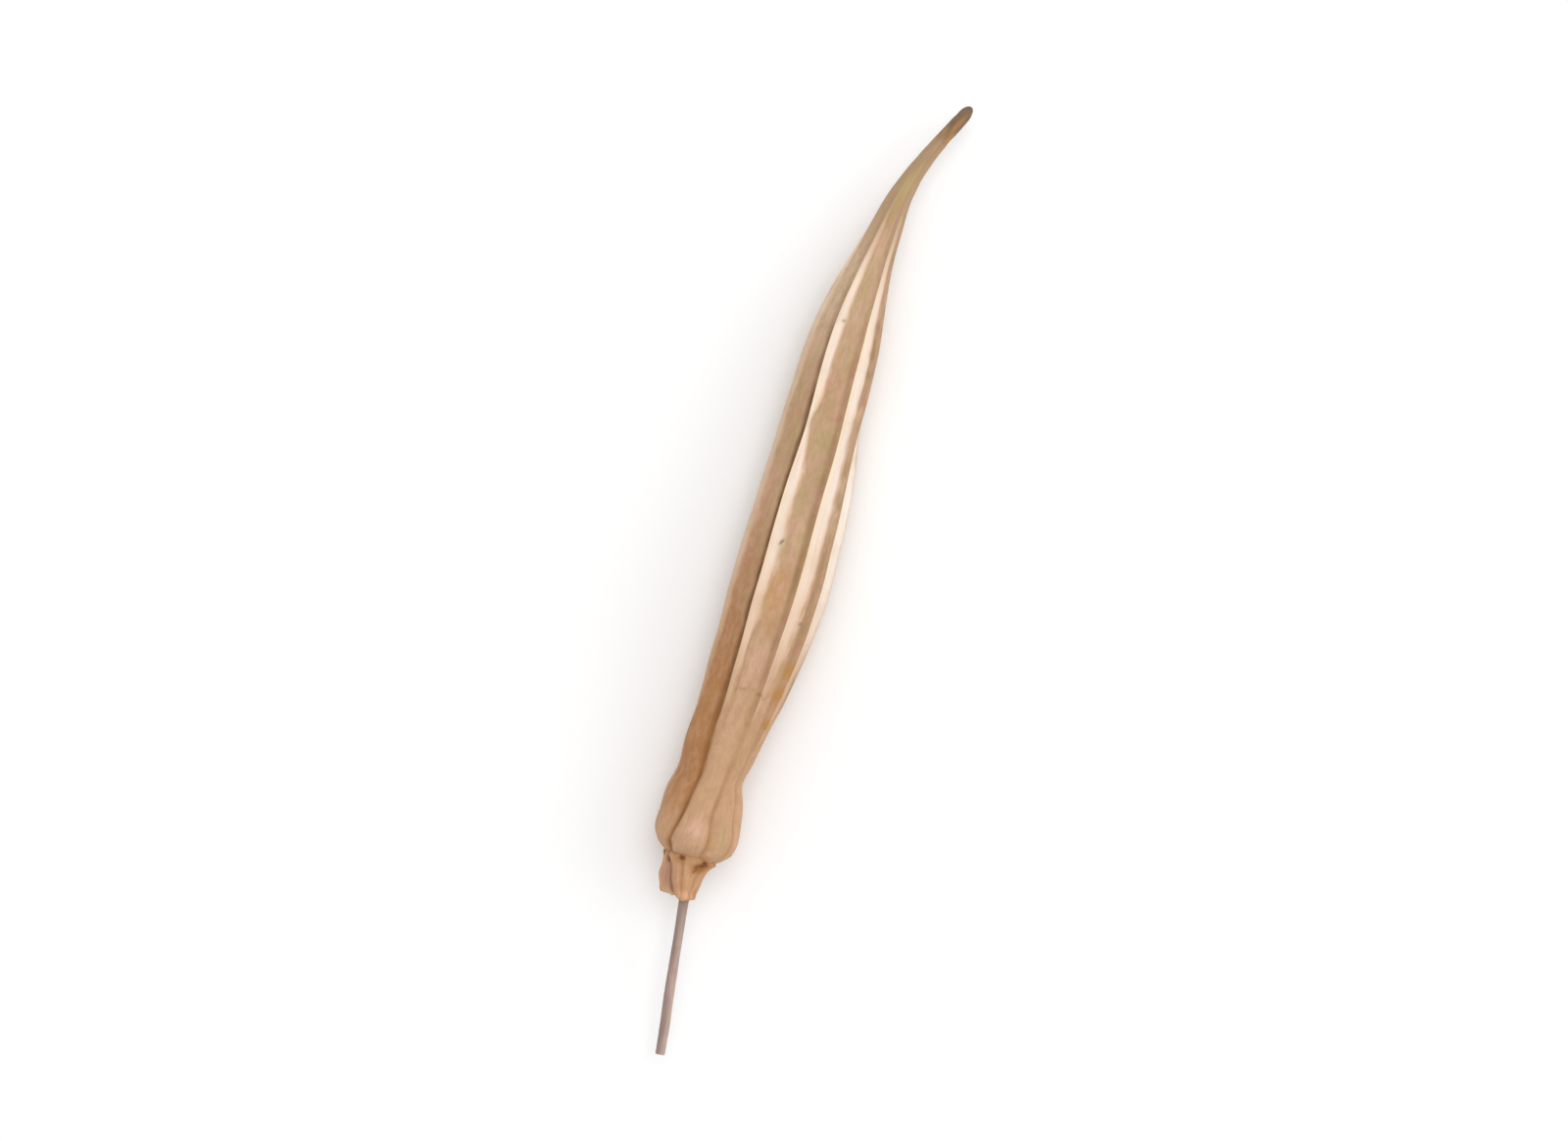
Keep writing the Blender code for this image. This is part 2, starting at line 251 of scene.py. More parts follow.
# More marks on the sides that have none of their own: seed, count, then the ranges of degrees, along,
# half width, half length and strength. Each has a turn from TURN_RANGE.
FAR_SIDES = (80, 275)
TURN_RANGE = (-25, 25)
MORE_SPECKS = (51, 16, FAR_SIDES, (70, 175), (0.2, 0.5), (0.2, 0.8), (0.4, 0.8))
MORE_STAINS = (52, 12, FAR_SIDES, (44, 120), (0.6, 1.4), (0.6, 2), (0.3, 0.8))
MORE_BLUSHES = (53, 20, FAR_SIDES, (44, 180), (0.8, 2.2), (1.5, 6), (0.3, 0.6))
MORE_OLIVES = (54, 20, FAR_SIDES, (44, 190), (0.8, 2), (1.5, 6), (0.3, 0.7))

# A healed scratch across the front face: degrees where it starts and ends, along, drop, bow, half width.
SCRATCH = (-14, 38, 76.5, 0.6, 1, 0.26)
SCRATCH_WOBBLE = 0.12
SCRATCH_DEPTH = 0.06

COLUMNS_ACROSS = 36
COLUMN_CROWDING = 0.85
SHOULDER_ROWS = 26
SHOULDER_END = 45.0
BELLY_ROWS = 296
TIP_ROWS = 16

# ---- curves and waves

RIPPLE_WAVES = 24
WANDER_WAVES = 10


def smooth(rows, column, at):
    """Cubic Hermite curve through a column of rows, level beyond the first and last rows."""
    x = rows[:, 0]
    y = rows[:, column]
    at = np.clip(at, x[0], x[-1])
    slope = np.gradient(y, x)
    index = np.clip(np.searchsorted(x, at) - 1, 0, len(x) - 2)
    span = x[index + 1] - x[index]
    t = (at - x[index]) / span
    start = (1 + 2 * t) * (1 - t) ** 2 * y[index] + t * (1 - t) ** 2 * span * slope[index]
    end = t ** 2 * (3 - 2 * t) * y[index + 1] + t ** 2 * (t - 1) * span * slope[index + 1]
    return start + end


def for_each_ring(columns, seam):
    """Picks each point's own seam from one column a seam, ring by ring."""
    return np.take_along_axis(columns, np.broadcast_to(seam, (len(columns), np.shape(seam)[-1])), axis=1)


def per_seam(rows, along, seam):
    """A table with one column a seam, read at each ring for each point's seam."""
    columns = [smooth(rows, column, along) for column in range(1, SEAM_COUNT + 1)]
    return for_each_ring(np.stack(columns, axis=1), seam)


def blend(rows, at):
    """A share that keeps its end values outside the rows and takes a smooth step between two."""
    index = np.clip(np.searchsorted(rows[:, 0], at) - 1, 0, len(rows) - 2)
    span = rows[index + 1, 0] - rows[index, 0]
    t = np.clip((at - rows[index, 0]) / span, 0, 1)
    return rows[index, 1] + (rows[index + 1, 1] - rows[index, 1]) * t * t * (3 - 2 * t)


def ease(low, high, x):
    """0 below low, 1 above high, with a smooth step between."""
    t = np.clip((x - low) / (high - low), 0, 1)
    return t * t * (3 - 2 * t)


def bell(x, middle, width):
    """A smooth bump of height 1."""
    return np.exp(-((x - middle) / width) ** 2)


def ripple(around, along, turns, lengths, seed):
    """Sum of waves with whole numbers of turns, so that it closes round a piece, scaled to about 1."""
    rng = np.random.default_rng(seed)
    total = np.zeros(np.broadcast(around, along).shape)
    for _ in range(RIPPLE_WAVES):
        turn = rng.integers(turns[0], turns[1] + 1)
        pace = 2 * np.pi / rng.uniform(*lengths) * rng.choice((-1, 1))
        total += np.cos(turn * around + pace * along + rng.uniform(0, 2 * np.pi))
    return total / math.sqrt(RIPPLE_WAVES / 2)


def wander(seam, along, lengths, seed):
    """One slow random line along the fruit for each seam, a sum of waves scaled to about 1."""
    rng = np.random.default_rng(seed)
    pace = 2 * np.pi / rng.uniform(*lengths, (SEAM_COUNT, WANDER_WAVES, 1))
    phase = rng.uniform(0, 2 * np.pi, (SEAM_COUNT, WANDER_WAVES, 1))
    lines = np.cos(pace * along.ravel() + phase).sum(axis=1) / math.sqrt(WANDER_WAVES / 2)
    return for_each_ring(lines.T, seam)


def signed_turn(angle):
    """The same angle, from half a turn before zero to half a turn after it."""
    return (angle + np.pi) % (2 * np.pi) - np.pi


def marks(rows, around, along, radius):
    """The strongest of a set of soft ovals: strength times a bell of the distance in half sizes."""
    total = np.zeros(np.broadcast(around, along, radius).shape)
    for degrees, middle, half_width, half_length, turn, strength in rows:
        across = radius * signed_turn(around - math.radians(degrees))
        ahead = along - middle
        c, s = math.cos(math.radians(turn)), math.sin(math.radians(turn))
        reach = ((c * across - s * ahead) / half_width) ** 2 + ((s * across + c * ahead) / half_length) ** 2
        total = np.maximum(total, strength * np.exp(-reach ** MARK_HARDNESS))
    return total


def scattered(seed, count, degrees, along, widths, lengths, strengths):
    """Random marks within the given ranges, as rows like the listed ones."""
    rng = np.random.default_rng(seed)
    ranges = (degrees, along, widths, lengths, TURN_RANGE, strengths)
    return list(zip(*[rng.uniform(*pair, count) for pair in ranges]))


def frames(rows, along):
    """Centres of the sections with their sideways and upward directions, square to the line."""
    centre = np.stack([smooth(rows, 1, along), along, smooth(rows, 2, along)], axis=1)
    ahead = np.gradient(centre, along, axis=0)
    ahead /= np.linalg.norm(ahead, axis=1)[:, None]
    side = np.cross(ahead, (0.0, 0.0, 1.0))
    side /= np.linalg.norm(side, axis=1)[:, None]
    return centre, side, np.cross(side, ahead)


def end_point(rows, along):
    """The point of a line at one distance along."""
    return np.array([smooth(rows, 1, along), along, smooth(rows, 2, along)])


# ---- meshes


def loft_faces(count, sides):
    """Four-sided faces between neighbouring rings, then a fan of triangles at each pole."""
    ring = np.arange(count - 1)[:, None] * sides
    column = np.arange(sides)
    after = (column + 1) % sides
    quads = np.stack([ring + column, ring + after, ring + after + sides, ring + column + sides], axis=2)
    start = count * sides
    last = start - sides
    first_fan = np.stack([after, column, np.full(sides, start)], axis=1)
    last_fan = np.stack([last + column, last + after, np.full(sides, start + 1)], axis=1)
    return quads.reshape(-1, 4).tolist() + first_fan.tolist() + last_fan.tolist()


def loft_map(count, sides):
    """The faces' corners unrolled: once round the piece across, and from pole to pole upwards."""
    left = np.arange(sides) / sides
    right = (np.arange(sides) + 1) / sides
    low = (np.arange(count - 1) + 1)[:, None] / (count + 1)
    high = low + 1 / (count + 1)
    corners = ((left, low), (right, low), (right, high), (left, high))
    quads = np.stack([np.stack(np.broadcast_arrays(*corner), axis=2) for corner in corners], axis=2)
    middle = (left + right) / 2
    first, last = np.full(sides, 1 / (count + 1)), np.full(sides, count / (count + 1))
    first_fan = np.stack([right, first, left, first, middle, 0 * middle], axis=1)
    last_fan = np.stack([left, last, right, last, middle, 0 * middle + 1], axis=1)
    return np.concatenate([part.reshape(-1, 2) for part in (quads, first_fan, last_fan)])


def loft(name, rings, start_pole, end_pole):
    """Closed mesh through rings of points, closed by one pole point at each end, with its map unrolled."""
    count, sides = rings.shape[:2]
    points = np.concatenate([rings.reshape(-1, 3), [start_pole], [end_pole]]) * MM
    faces = loft_faces(count, sides)
    mesh = bpy.data.meshes.new(name)
    mesh.from_pydata(points.tolist(), [], faces)
    mesh.polygons.foreach_set("use_smooth", np.ones(len(faces), bool))
    layer = mesh.uv_layers.new(name="OFBake", do_init=False)
    layer.uv.foreach_set("vector", loft_map(count, sides).astype(np.float32).ravel())
    mesh.update()
    piece = bpy.data.objects.new(name, mesh)
    bpy.context.scene.collection.objects.link(piece)
    return piece


def paint(piece, name, values, poles=(0.0, 0.0)):
    """Stores one number for each point as an attribute that a material reads."""
    stored = piece.data.attributes.new(name, "FLOAT", "POINT")
    stored.data.foreach_set("value", np.append(values.ravel(), poles).astype(np.float32))


def lay_grain(piece, around, along, radius, start_along, end_along):
    """Stores the piece's own straightened place, a cylinder of one radius, for patterns that follow it."""
    along = np.broadcast_to(along, around.shape)
    place = np.stack([radius * np.sin(around), radius * np.cos(around), along], axis=-1).reshape(-1, 3)
    place = np.concatenate([place, [(0, 0, start_along)], [(0, 0, end_along)]])
    stored = piece.data.attributes.new("grain", "FLOAT_VECTOR", "POINT")
    stored.data.foreach_set("vector", place.astype(np.float32).ravel())


# ---- material nodes


def new_material(name):
    """A material with its node tree and its shader."""
    material = bpy.data.materials.new(name)
    material.use_nodes = True
    tree = material.node_tree
    return material, tree, tree.nodes["Principled BSDF"]


def attribute(tree, name, output="Fac"):
    """Reads a stored attribute."""
    node = tree.nodes.new("ShaderNodeAttribute")
    node.attribute_name = name
    return node.outputs[output]


def noise(tree, grain, squeeze, scale, detail=3.0, roughness=0.5, distortion=0.0):
    """Noise on a piece's straightened place, with the distance along it squeezed to draw the pattern out."""
    place = tree.nodes.new("ShaderNodeMapping")
    place.inputs["Scale"].default_value = (1.0, 1.0, squeeze)
    tree.links.new(grain, place.inputs["Vector"])
    node = tree.nodes.new("ShaderNodeTexNoise")
    values = (("Scale", scale), ("Detail", detail), ("Roughness", roughness), ("Distortion", distortion))
    for name, value in values:
        node.inputs[name].default_value = value
    tree.links.new(place.outputs["Vector"], node.inputs["Vector"])
    return node.outputs["Fac"]


def stretch(tree, value, low, high, out_low=0.0, out_high=1.0):
    """Maps low..high to out_low..out_high with a smooth step."""
    node = tree.nodes.new("ShaderNodeMapRange")
    node.interpolation_type = "SMOOTHSTEP"
    for name, limit in (("From Min", low), ("From Max", high), ("To Min", out_low), ("To Max", out_high)):
        node.inputs[name].default_value = limit
    tree.links.new(value, node.inputs["Value"])
    return node.outputs["Result"]


def fill(tree, socket, value):
    """Sets a socket to a number or a colour, or links another node's output to it."""
    if isinstance(value, tuple):
        socket.default_value = (*value, 1.0)
    elif isinstance(value, (int, float)):
        socket.default_value = value
    else:
        tree.links.new(value, socket)


def math_node(tree, operation, first, second):
    """One sum or product of two values."""
    node = tree.nodes.new("ShaderNodeMath")
    node.operation = operation
    fill(tree, node.inputs[0], first)
    fill(tree, node.inputs[1], second)
    return node.outputs["Value"]


def times(tree, first, *others):
    """The product of several values."""
    for other in others:
        first = math_node(tree, "MULTIPLY", first, other)
    return first


def mix(tree, share, first, second):
    """Colour mix. A colour is a tuple or another node's output."""
    node = tree.nodes.new("ShaderNodeMix")
    node.data_type = "RGBA"
    fill(tree, node.inputs[0], share)
    fill(tree, node.inputs[6], first)
    fill(tree, node.inputs[7], second)
    return node.outputs[2]


def tint(tree, colour, *layers):
    """Lays tints over a colour, each as thick as the attribute that it is named with."""
    for name, over in layers:
        colour = mix(tree, attribute(tree, name), colour, over)
    return colour


def bump(tree, height, distance, strength, before=None):
    """Bump of a height in metres, on top of another one if there is one before."""
    node = tree.nodes.new("ShaderNodeBump")
    node.inputs["Distance"].default_value = distance
    node.inputs["Strength"].default_value = strength
    tree.links.new(height, node.inputs["Height"])
    if before is not None:
        tree.links.new(before, node.inputs["Normal"])
    return node.outputs["Normal"]


# ---- materials of the wall, stub and stick

OLIVE_TAN = (0.47, 0.34, 0.18)
PINK_TAN = (0.54, 0.325, 0.215)
PALE_TAN = (0.64, 0.48, 0.33)
WARM_TAN = (0.56, 0.33, 0.185)
OLIVE_PATCH = (0.46, 0.335, 0.155)
# Pink of the wall's own patches, and of the painted highlights on the base's lobes.
PINK_PATCH_AND_HIGHLIGHT = (0.68, 0.4, 0.28)
FIBRE_BROWN = (0.36, 0.215, 0.115)
# Brown of the faces, both their own colour and painted shade; also the brown of the stub's fibres.
UMBER = (0.37, 0.155, 0.05)
CREAM = (0.84, 0.68, 0.49)
BAND_WHITE = (0.83, 0.69, 0.6)
# Painted highlight: the white that the bands are lightened to where the side faces the light.
HIGHLIGHT_WHITE = (0.97, 0.93, 0.86)
PEACH = (0.74, 0.515, 0.37)
# The dark lines: painted shade of the cracks and valleys, with the brown of the split seams and of the base's
# valleys.
LINE_BROWN = (0.148, 0.064, 0.021)
VALLEY_BROWN = (0.285, 0.118, 0.028)
BEAK_BROWN = (0.165, 0.106, 0.062)
BEAK_GREY = (0.375, 0.248, 0.138)
SPECK_BROWN = (0.1, 0.075, 0.06)
STAIN_ORANGE = (0.5, 0.24, 0.065)


def face_colour(tree, grain, fibres):
    """The wall away from its seams: tan patches, warm at the base, and brown that is partly the faces' own
    colour and partly painted shade on the faces that lie in shade and before the lips.
    """
    hue = noise(tree, grain, 0.45, 0.42, detail=4.0, roughness=0.62, distortion=0.5)
    clouds = noise(tree, grain, 0.5, 0.85, roughness=0.6, distortion=0.3)
    colour = mix(tree, stretch(tree, hue, 0.40, 0.60), OLIVE_TAN, PINK_TAN)
    # The blush layer holds pink patches and painted highlights on the base's lobes.
    layers = (("light", PALE_TAN), ("warm", WARM_TAN), ("olive", OLIVE_PATCH), ("blush", PINK_PATCH_AND_HIGHLIGHT))
    colour = tint(tree, colour, *layers)
    colour = mix(tree, stretch(tree, clouds, 0.42, 0.66, 0.0, 0.30), colour, FIBRE_BROWN)
    colour = mix(tree, stretch(tree, fibres, 0.42, 0.72, 0.0, 0.26), colour, FIBRE_BROWN)
    # Brown over the faces: partly their own colour, partly painted shade.
    shaded = times(tree, attribute(tree, "umber_and_shade"), stretch(tree, clouds, 0.36, 0.62, 0.78, 1.18))
    return mix(tree, shaded, colour, UMBER)


def band_colour(tree, place, hue, fibres):
    """Across a band: a cream rim at the seam, white in the middle and peach towards the face, lightened
    towards white by a painted highlight.
    """
    white = attribute(tree, "white")
    middle = times(tree, stretch(tree, place, 0.08, 0.3), stretch(tree, place, 0.55, 0.85, 1.0, 0.0))
    core = times(tree, middle, stretch(tree, hue, 0.3, 0.6, 0.35, 1.0), white)
    rim = mix(tree, white, PEACH, CREAM)
    edges = mix(tree, stretch(tree, place, 0.35, 0.95), rim, PEACH)
    patchy = stretch(tree, hue, 0.30, 0.62, 0.55, 1.0)
    fading = stretch(tree, place, 0.60, 0.85, 1.0, 0.4)
    streaky = stretch(tree, fibres, 0.40, 0.70, 1.0, 0.8)
    # Painted highlight on the bands, strongest on the side that faces the light.
    band_highlight = times(tree, attribute(tree, "band_highlight"), patchy, fading, streaky)
    return mix(tree, band_highlight, mix(tree, core, edges, BAND_WHITE), HIGHLIGHT_WHITE)


def band_cover(tree, place, patches, fibres):
    """How far a band hides the face: fully to about its width, with a ragged edge and a few bare fibres."""
    ragged = times(tree, math_node(tree, "SUBTRACT", patches, 0.5), 0.9)
    edge = stretch(tree, math_node(tree, "ADD", place, ragged), 0.68, 1.18, 1.0, 0.0)
    return times(tree, edge, attribute(tree, "pale"), stretch(tree, fibres, 0.45, 0.8, 1.0, 0.74))


def pod_wall_colour(tree, grain, fibres, patches):
    """Faces, neck and beak, then the bands, the stains, the lines and the specks over them."""
    mottles = noise(tree, grain, 0.4, 2.4, roughness=0.6, distortion=0.6)
    mottled = stretch(tree, mottles, 0.48, 0.66, 0.0, 0.22)
    colour = mix(tree, mottled, face_colour(tree, grain, fibres), FIBRE_BROWN)
    colour = tint(tree, colour, ("neck", BEAK_GREY), ("olive_neck", OLIVE_PATCH))
    beak = times(tree, attribute(tree, "beak"), stretch(tree, mottles, 0.3, 0.65, 0.75, 1.15))
    colour = mix(tree, beak, colour, BEAK_BROWN)
    place = attribute(tree, "band_place")
    cover = band_cover(tree, place, patches, fibres)
    colour = mix(tree, cover, colour, band_colour(tree, place, patches, fibres))
    spread = times(tree, attribute(tree, "stain"), stretch(tree, mottles, 0.30, 0.56, 0.25, 1.0))
    colour = mix(tree, spread, colour, STAIN_ORANGE)
    # Dark lines: painted shade of the cracks and valleys with the seams' brown.
    line_colour = mix(tree, attribute(tree, "warm"), LINE_BROWN, VALLEY_BROWN)
    colour = mix(tree, attribute(tree, "line"), colour, line_colour)
    dots = noise(tree, grain, 0.6, 1.6, detail=1.0, roughness=0.4)
    colour = mix(tree, stretch(tree, dots, 0.79, 0.84, 0.0, 0.45), colour, SPECK_BROWN)
    return tint(tree, colour, ("speck", SPECK_BROWN))


def pod_wall_material():
    """Dry pod wall: dull and fibrous, with pale bands beside the seams, dark lines of brown and painted
    shade, and specks.
    """
    material, tree, shader = new_material("dry_pod_wall")
    grain = attribute(tree, "grain", "Vector")
    fibres = noise(tree, grain, 0.03, 1.6, detail=5.0, roughness=0.65)
    threads = noise(tree, grain, 0.05, 5.0, roughness=0.6)
    patches = noise(tree, grain, 0.25, 0.7, roughness=0.6, distortion=0.4)
    tree.links.new(pod_wall_colour(tree, grain, fibres, patches), shader.inputs["Base Color"])
    tree.links.new(stretch(tree, fibres, 0.2, 0.8, 0.60, 0.78), shader.inputs["Roughness"])
    first = bump(tree, fibres, 0.00012, 0.7)
    second = bump(tree, threads, 0.00004, 0.6, first)
    tree.links.new(bump(tree, patches, 0.0002, 0.5, second), shader.inputs["Normal"])
    shader.inputs["Specular IOR Level"].default_value = 0.3
    return material


STUB_TAN = (0.59, 0.34, 0.2)
STUB_OLIVE = (0.55, 0.31, 0.155)
STUB_BLUSH = (0.44, 0.245, 0.175)
# Dark of the scar's pits, and the painted shade in the pits, folds, collar and socket.
STUB_DARK = (0.2, 0.07, 0.018)
STUB_ORANGE = (0.365, 0.137, 0.033)
STUB_TIP = (0.8, 0.44, 0.25)
CUT_WOOD = (0.58, 0.4, 0.25)


def stub_material():
    """Rough stalk wood: orange tan with furrows, darker in the pits by scar colour and painted shade and in
    the folds by painted shade, paler where it is cut.
    """
    material, tree, shader = new_material("stalk_wood")
    grain = attribute(tree, "grain", "Vector")
    fibres = noise(tree, grain, 0.18, 2.2, detail=4.0, roughness=0.65)
    patches = noise(tree, grain, 0.6, 0.6, distortion=0.5)
    colour = mix(tree, stretch(tree, patches, 0.35, 0.65), STUB_TAN, STUB_OLIVE)
    layers = (("blush", STUB_BLUSH), ("stain", STUB_ORANGE), ("tip", STUB_TIP), ("cut", CUT_WOOD))
    colour = tint(tree, colour, *layers)
    colour = mix(tree, stretch(tree, fibres, 0.42, 0.75, 0.0, 0.45), colour, UMBER)
    # Scar colour and painted shade in the pits, folds, collar and socket.
    colour = tint(tree, colour, ("scar_and_shade", STUB_DARK))
    tree.links.new(colour, shader.inputs["Base Color"])
    shader.inputs["Roughness"].default_value = 0.78
    shader.inputs["Specular IOR Level"].default_value = 0.3
    first = bump(tree, fibres, 0.0003, 0.6)
    tree.links.new(bump(tree, patches, 0.0003, 0.4, first), shader.inputs["Normal"])
    return material


BARK_GREY = (0.41, 0.295, 0.25)
BARK_PINK = (0.53, 0.375, 0.31)
BARK_DARK = (0.24, 0.17, 0.14)
# Painted shade of the bark; it is also the colour of the dark pith at the cut's middle.
BARK_SHADE = (0.26, 0.176, 0.148)
STICK_WOOD = (0.6, 0.48, 0.36)


def stick_material():
    """Thin stick: grey mauve bark with lengthwise wrinkles and painted shade near the stub and on one side,
    and a paler cut end with a dark rim.
    """
    material, tree, shader = new_material("stick_bark")
    grain = attribute(tree, "grain", "Vector")
    wrinkles = noise(tree, grain, 0.06, 3.5, roughness=0.6)
    patches = noise(tree, grain, 0.35, 0.7, distortion=0.4)
    colour = mix(tree, stretch(tree, patches, 0.35, 0.65), BARK_GREY, BARK_PINK)
    colour = mix(tree, stretch(tree, wrinkles, 0.42, 0.75, 0.0, 0.45), colour, BARK_DARK)
    # Painted shade near the stub and on the side away from the light, then the cut wood.
    colour = tint(tree, colour, ("shade", BARK_SHADE), ("cut", STICK_WOOD))
    tree.links.new(colour, shader.inputs["Base Color"])
    shader.inputs["Roughness"].default_value = 0.65
    tree.links.new(bump(tree, wrinkles, 0.0001, 0.6), shader.inputs["Normal"])
    return material


# ---- the fruit

NARROWEST_BAND = 0.2
# Lips keep their full height down to this crest radius.
FULL_STEP_RADIUS = 8.0
# A narrower band ends before the next seam, and all places beyond the farthest look the same.
WIDE_BAND = 6.0
FARTHEST_PLACE = 8.0
WALL_GRAIN_RADIUS = 8.0


def across_shares():
    """Places from one seam to the next, 0 to 1, crowded towards both seams by a sine."""
    even = np.arange(COLUMNS_ACROSS) / COLUMNS_ACROSS
    return even - COLUMN_CROWDING * np.sin(2 * np.pi * even) / (2 * np.pi)


def fruit_rows():
    """Distances of the rings: close at the shoulder, even along the belly, turning round the beak's end."""
    shoulder = np.linspace(BASE_END, SHOULDER_END, SHOULDER_ROWS, endpoint=False)
    belly = np.linspace(SHOULDER_END, TIP_END - TIP_LENGTH, BELLY_ROWS)
    turn = np.linspace(0, np.pi / 2, TIP_ROWS + 2)[1:-1]
    return np.concatenate([shoulder, belly, TIP_END - TIP_LENGTH * (1 - np.sin(turn))])


def wall_grid():
    """Where each point lies: its seam, its share of the way to the next seam, its angle and distances.

    The angle runs evenly from each seam's angle to the next. Distances round the wall are angle times
    crest radius, signed is the distance past the nearest seam, and place is that past a seam in widths.
    """
    along = fruit_rows()
    seam = np.repeat(np.arange(SEAM_COUNT), COLUMNS_ACROSS)
    share = np.tile(across_shares(), SEAM_COUNT)
    seams = np.radians(per_seam(SEAMS, along, np.arange(SEAM_COUNT)))
    seams = np.hstack([seams, seams[:, :1] + 2 * np.pi])
    gap = np.repeat(np.diff(seams, axis=1), COLUMNS_ACROSS, axis=1)
    angle = np.repeat(seams[:, :-1], COLUMNS_ACROSS, axis=1) + share * gap
    into_tip = np.clip((along - TIP_END + TIP_LENGTH) / TIP_LENGTH, 0, 1)
    swell = 1 + TIP_SWELL * ease(*TIP_SWELL_RUN, along)
    crest = (smooth(CREST_RADIUS, 1, along) * swell * np.sqrt(1 - into_tip ** 2))[:, None]
    past = share * gap * crest
    before = (1 - share) * gap * crest
    next_seam = (seam + 1) % SEAM_COUNT
    ragged = 0.05 * wander(seam, along, (14, 50), seed=3) + 0.03 * wander(seam, along, (3, 9), seed=4)
    width = np.maximum(per_seam(BAND_WIDTH, along, seam), NARROWEST_BAND) * (1 + ragged)
    return SimpleNamespace(
        along=along, s=along[:, None], seam=seam, next_seam=next_seam, share=share, gap=gap, angle=angle,
        even=((seam + share) * 2 * np.pi / SEAM_COUNT)[None, :], crest=crest, past=past, before=before,
        nearest=np.where(share < 0.5, seam, next_seam), signed=np.where(share < 0.5, past, -before),
        width=width, place=past / width)


def wall_section(g):
    """Share of the crest radius: round lobes at the base, flat ribbed sides along the belly, a round beak."""
    flat_side = np.cos(g.gap / 2) / np.cos((g.share - 0.5) * g.gap)
    rib = flat_side * (1 - FACE_HOLLOW * np.sin(np.pi * g.share)) - 1
    lobe = LOBE_GROOVE * (np.sin(np.pi * g.share) ** LOBE_ROUNDNESS - 1)
    return 1 + blend(RIB_SHARE, g.s) * rib + blend(LOBE_SHARE, g.s) * lobe


def dark_line(g):
    """Share of the dark line at the nearest seam, painted shade of the crack with its brown: a flat-topped
    bell just before a raised lip.

    In the valleys of the base it lies on the seam itself.
    """
    course = blend(LINE_COURSE, g.s)
    offset = course * LINE_OFFSET[g.nearest]
    width = VALLEY_WIDTH + np.minimum(1, 2 * course) * (LINE_WIDTH[g.nearest] - VALLEY_WIDTH)
    ragged = 1 + LINE_RAGGEDNESS * wander(g.nearest, g.along, (2.5, 14), seed=11)
    away = (g.signed + offset) / (width * blend(LINE_TAPER, g.s) * ragged)
    line = np.exp(-np.abs(away) ** (2 + course))
    on_lip = (g.signed >= 0) * blend(STEP_SHARE, g.s)
    patchy = 1 + LINE_PATCHINESS * wander(g.nearest, g.along, (3, 20), seed=12)
    strength = per_seam(LINE_SHARE, g.along, g.nearest) * ease(*LINE_RUN_IN, g.s)
    return line * (1 - on_lip) * patchy * strength


def second_line(g):
    """A faint line beside the front seam, where the band's edge has dried into a crease."""
    course = SECOND_PLACE + SECOND_WANDER * wander(g.seam, g.along, (6, 20), seed=13)
    return (g.seam == SECOND_SEAM) * bell(g.past, course, SECOND_WIDTH) * blend(SECOND_COURSE, g.s)


def scratch_line(g):
    """A thin line across the front face, bowed by a sine, with a small wobble and uneven strength."""
    start, end, middle, drop, bow, half_width = SCRATCH
    degrees = np.degrees(g.angle)
    share = (degrees - start) / (end - start)
    bowed = bow * np.sin(np.pi * np.clip(share, 0, 1)) ** 1.5
    course = middle - drop * share + bowed + SCRATCH_WOBBLE * np.sin(degrees * 0.6)
    broken = 0.75 + 0.25 * np.sin(degrees * 0.33 + 1)
    return bell(g.s, course, half_width) * ease(-0.1, 0.15, share) * (1 - ease(0.85, 1.1, share)) * broken


def band_level(g):
    """A band falls away by a power of the way across it, then the level turns smoothly to the next seam's."""
    lips = blend(STEP_SHARE, g.s)
    step = STEP_HEIGHT * lips * np.minimum(1, g.crest / FULL_STEP_RADIUS)
    here = step * SEAM_STEP[g.seam]
    there = step * SEAM_STEP[g.next_seam]
    fall = here * np.minimum(g.place, 1) ** BAND_FALL
    level = np.where(g.place < 1, fall, here + (there - here) * ease(0.0, 1.0, g.share))
    furrow = FURROW[0] * bell(g.past, g.width + 0.1, FURROW[1]) * (here > 0.05)
    return level + furrow + ROUNDING[0] * lips * bell(g.before, 0, ROUNDING[1])


def face_relief(g):
    """Veins, a cosine round the wall that slow waves bend, and low lumps. They only cut in."""
    body = blend(RELIEF_SHARE, g.s)
    veins = np.cos(g.even * SEAM_COUNT * VEINS_A_FACE + 2 * ripple(g.even, g.s, (1, 4), (30, 80), seed=5))
    uneven = 1 + 0.5 * ripple(g.even, g.s, (2, 6), (15, 40), seed=9)
    lumps = ripple(g.even, g.s, (2, 9), (12, 45), seed=7)
    return np.maximum(RELIEF_DEPTH * body - body * (VEIN_DEPTH * veins * uneven + LUMP_DEPTH * lumps), 0)


def wall_depth(g, line):
    """How far the surface lies below its section, with the base's uneven rim and the beak's grooves."""
    cuts = LINE_DEPTH * line + SECOND_DEPTH * second_line(g) + SCRATCH_DEPTH * scratch_line(g)
    rim = blend(RIM_DEPTH, g.s) * (1 + ripple(g.even, g.s, (5, 17), (4, 12), seed=17))
    grooves = BEAK_GROOVE * (1 + np.cos(g.even * SEAM_COUNT))
    lumps = BEAK_LUMPS * (1 + ripple(g.even, g.s, (2, 9), (4, 14), seed=19))
    depth = band_level(g) + face_relief(g) + cuts + rim + blend(BEAK_RELIEF, g.s) * (grooves + lumps)
    return np.minimum(depth, DEEPEST_SHARE * g.crest)


